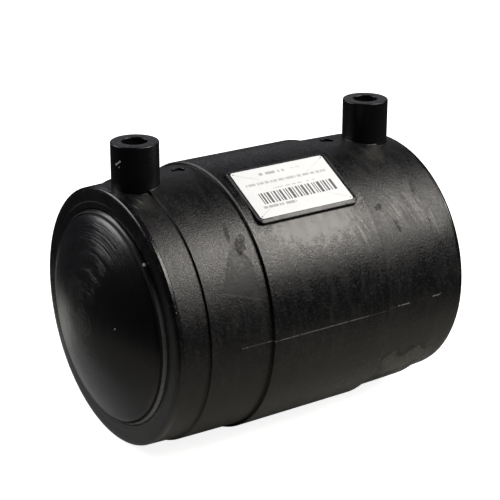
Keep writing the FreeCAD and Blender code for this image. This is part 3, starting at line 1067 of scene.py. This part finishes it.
def label_paper():
    """White coated paper with generic print: a row of bars and broken grey lines."""
    m = Nodes("label_paper")
    p = m.object_mm()
    x, y, z = m.split(p)
    a = math.radians(PAD_ANGLE)
    u = m.plus(m.times(y, -math.cos(a)), m.times(z, -math.sin(a)))
    v = m.minus(m.times(x, -1.0), BARREL_LENGTH / 2)

    def strip(value, middle, half):
        return m.near(value, middle, half - 0.05, half + 0.05)

    bars = []
    start = LABEL_BARS_START
    for width, gap in LABEL_BARS:
        bars.append(strip(v, start + width / 2, width / 2))
        start += width + gap
    bars = m.times(m.most(*bars), strip(u, *LABEL_BARS_PLACE), LABEL_BARS_DARKNESS)
    blocks = m.noise(m.join(v, m.times(m.math("FLOOR", m.times(u, 0.3)), 7.3), 0.0), 0.75, detail=1.0)
    blocks = m.ramp(blocks, 0.44, 0.47)
    rows = [m.times(strip(u, row, tall / 2), strip(v, middle, half), strength)
            for row, middle, half, tall, strength in LABEL_ROWS]
    printed = m.most(bars, m.times(m.most(*rows), blocks))
    fine = m.noise(p, 1.4, detail=3.0)
    broad = m.noise(p, 0.12, detail=3.0)
    color = m.mix(printed, m.mix(m.ramp(broad, 0.3, 0.7), *PAPER), INK)
    roughness = m.ramp(fine, 0.3, 0.7, 0.36, 0.46)
    return m.surface(color, roughness, m.bump(m.plus(fine, m.times(broad, 3.0)), 0.00002, 0.6))


def plain_finish(name, dark, light, roughness, metallic=0.0):
    """A finish with a little colour variation, fine bump and uneven gloss."""
    m = Nodes(name)
    p = m.object_mm()
    fine = m.noise(p, 1.5, detail=3.0)
    broad = m.noise(p, 0.12, detail=3.0)
    color = m.mix(m.ramp(broad, 0.3, 0.7), dark, light)
    gloss = m.ramp(fine, 0.3, 0.7, roughness - 0.05, roughness + 0.05)
    return m.surface(color, gloss, m.bump(fine, 0.00002, 0.6), metallic)


def floor_finish():
    """Pale round the part, with a painted falloff of light to dark further off and a painted pool of light.
    The camera sees it close to white.
    """
    m = Nodes("floor")
    p = m.object_mm()
    seen = m.new("ShaderNodeLightPath").outputs["Is Camera Ray"]
    distance = m.placed(p, FLOOR_FALLOFF_MIDDLE)
    # Painted falloff of light: the floor's colour darkens with the distance from under the part
    near = m.ramp(distance, FLOOR_LIGHT_FALLOFF[1], FLOOR_LIGHT_FALLOFF[0])
    lift = m.ramp(distance, *FLOOR_LIFT_FADE, FLOOR_LIFT, 1.0)
    # Painted pool of light: the floor's colour is lighter beside the dome
    light_pool = m.ramp(m.placed(p, FLOOR_LIGHT_POOL, FLOOR_LIGHT_POOL_SHAPE), FLOOR_LIGHT_POOL_FADE[1], FLOOR_LIGHT_POOL_FADE[0])
    pale = m.mix(near, FLOOR_FALLOFF_DARK, m.mix(m.noise(p, 0.01, detail=2.0), *FLOOR_PALE))
    diffuse = m.new("ShaderNodeBsdfDiffuse")
    m.put(diffuse.inputs["Color"], m.mix(m.most(light_pool, seen), pale, FLOOR_WHITE))
    glow = m.new("ShaderNodeEmission")
    m.put(glow.inputs["Strength"], m.times(seen, lift))
    both = m.new("ShaderNodeAddShader")
    m.put(both.inputs[0], diffuse.outputs[0])
    m.put(both.inputs[1], glow.outputs[0])
    output = m.new("ShaderNodeOutputMaterial")
    m.put(output.inputs["Surface"], both.outputs[0])
    return m.material


def floor():
    """A wide floor that reads as white to the camera."""
    half, level = FLOOR_HALF, -MAIN * MM - FLOOR_GAP
    corners = [Vector((x, y, level)) for x, y in ((-half, -half), (half, -half), (half, half), (-half, half))]
    mesh = bpy.data.meshes.new("floor")
    mesh.from_pydata(corners, [], [(0, 1, 2, 3)])
    mesh.materials.append(floor_finish())
    made = add_object("floor", mesh)


def look(made, place, target):
    """Puts a camera or a lamp at a place, facing a target."""
    made.location = place
    made.rotation_mode = "QUATERNION"
    made.rotation_quaternion = (target - place).to_track_quat("-Z", "Y")


def camera():
    data = bpy.data.cameras.new("camera")
    data.lens = CAMERA_LENS
    data.sensor_width = CAMERA_SENSOR
    made = add_object("camera", data)
    look(made, Vector(CAMERA_PLACE), Vector(CAMERA_TARGET))
    roll = Matrix.Rotation(math.radians(CAMERA_ROLL), 3, "Z").to_quaternion()
    made.rotation_quaternion = made.rotation_quaternion @ roll
    bpy.context.scene.camera = made


def world():
    """A dim studio that the camera sees as white."""
    made = bpy.data.worlds.new("world")
    made.use_nodes = True
    tree = made.node_tree
    background = tree.nodes["Background"]
    path = tree.nodes.new("ShaderNodeLightPath")
    shade = tree.nodes.new("ShaderNodeMix")
    shade.data_type = "RGBA"
    shade.inputs["A"].default_value = STUDIO
    shade.inputs["B"].default_value = WHITE
    tree.links.new(path.outputs["Is Camera Ray"], shade.inputs["Factor"])
    tree.links.new(shade.outputs["Result"], background.inputs["Color"])
    bpy.context.scene.world = made


def softbox(name, direction, distance, width, height, radiance, color):
    """A rectangular lamp that faces the part from a direction."""
    light = bpy.data.lights.new(name, "AREA")
    light.shape = "RECTANGLE"
    light.size = width
    light.size_y = height
    light.energy = radiance * math.pi * width * height
    light.color = color
    middle = Vector((-BARREL_LENGTH / 2, 0, 0)) * MM
    look(add_object(name, light), middle + Vector(direction).normalized() * distance, middle)


camera()
world()
for name, values in SOFTBOXES.items():
    softbox(name, *values)
floor()

piece("barrel", [barrel_shell(), pad_shell()] + [shroud_shell(w) for w in TERMINALS],
      black_polyethylene(), "coupler_body")
piece("plug", [plug_shell()], plug_polyethylene(), "end_plug")
piece("label_sheet", [label_shell()], label_paper(), "label")

copper = plain_finish("copper_wire", (0.60, 0.26, 0.14, 1), (0.80, 0.42, 0.26, 1), 0.25, 1.0)
brass = plain_finish("terminal_brass", (0.20, 0.15, 0.08, 1), (0.34, 0.26, 0.14, 1), 0.35, 1.0)
pins = plain_finish("indicator_polyethylene", (0.003, 0.003, 0.0035, 1), (0.006, 0.006, 0.0055, 1), 0.85)
finishes = {
    "heating_wire": copper,
    "terminal_pin_pipe_side": brass,
    "terminal_pin_plug_side": brass,
    "fusion_indicator_pipe_side": pins,
    "fusion_indicator_plug_side": pins,
}
for node, finish in finishes.items():
    for slot in frame["nodes"][node].material_slots:
        slot.material = finish

bpy.context.scene.view_settings.view_transform = "Standard"
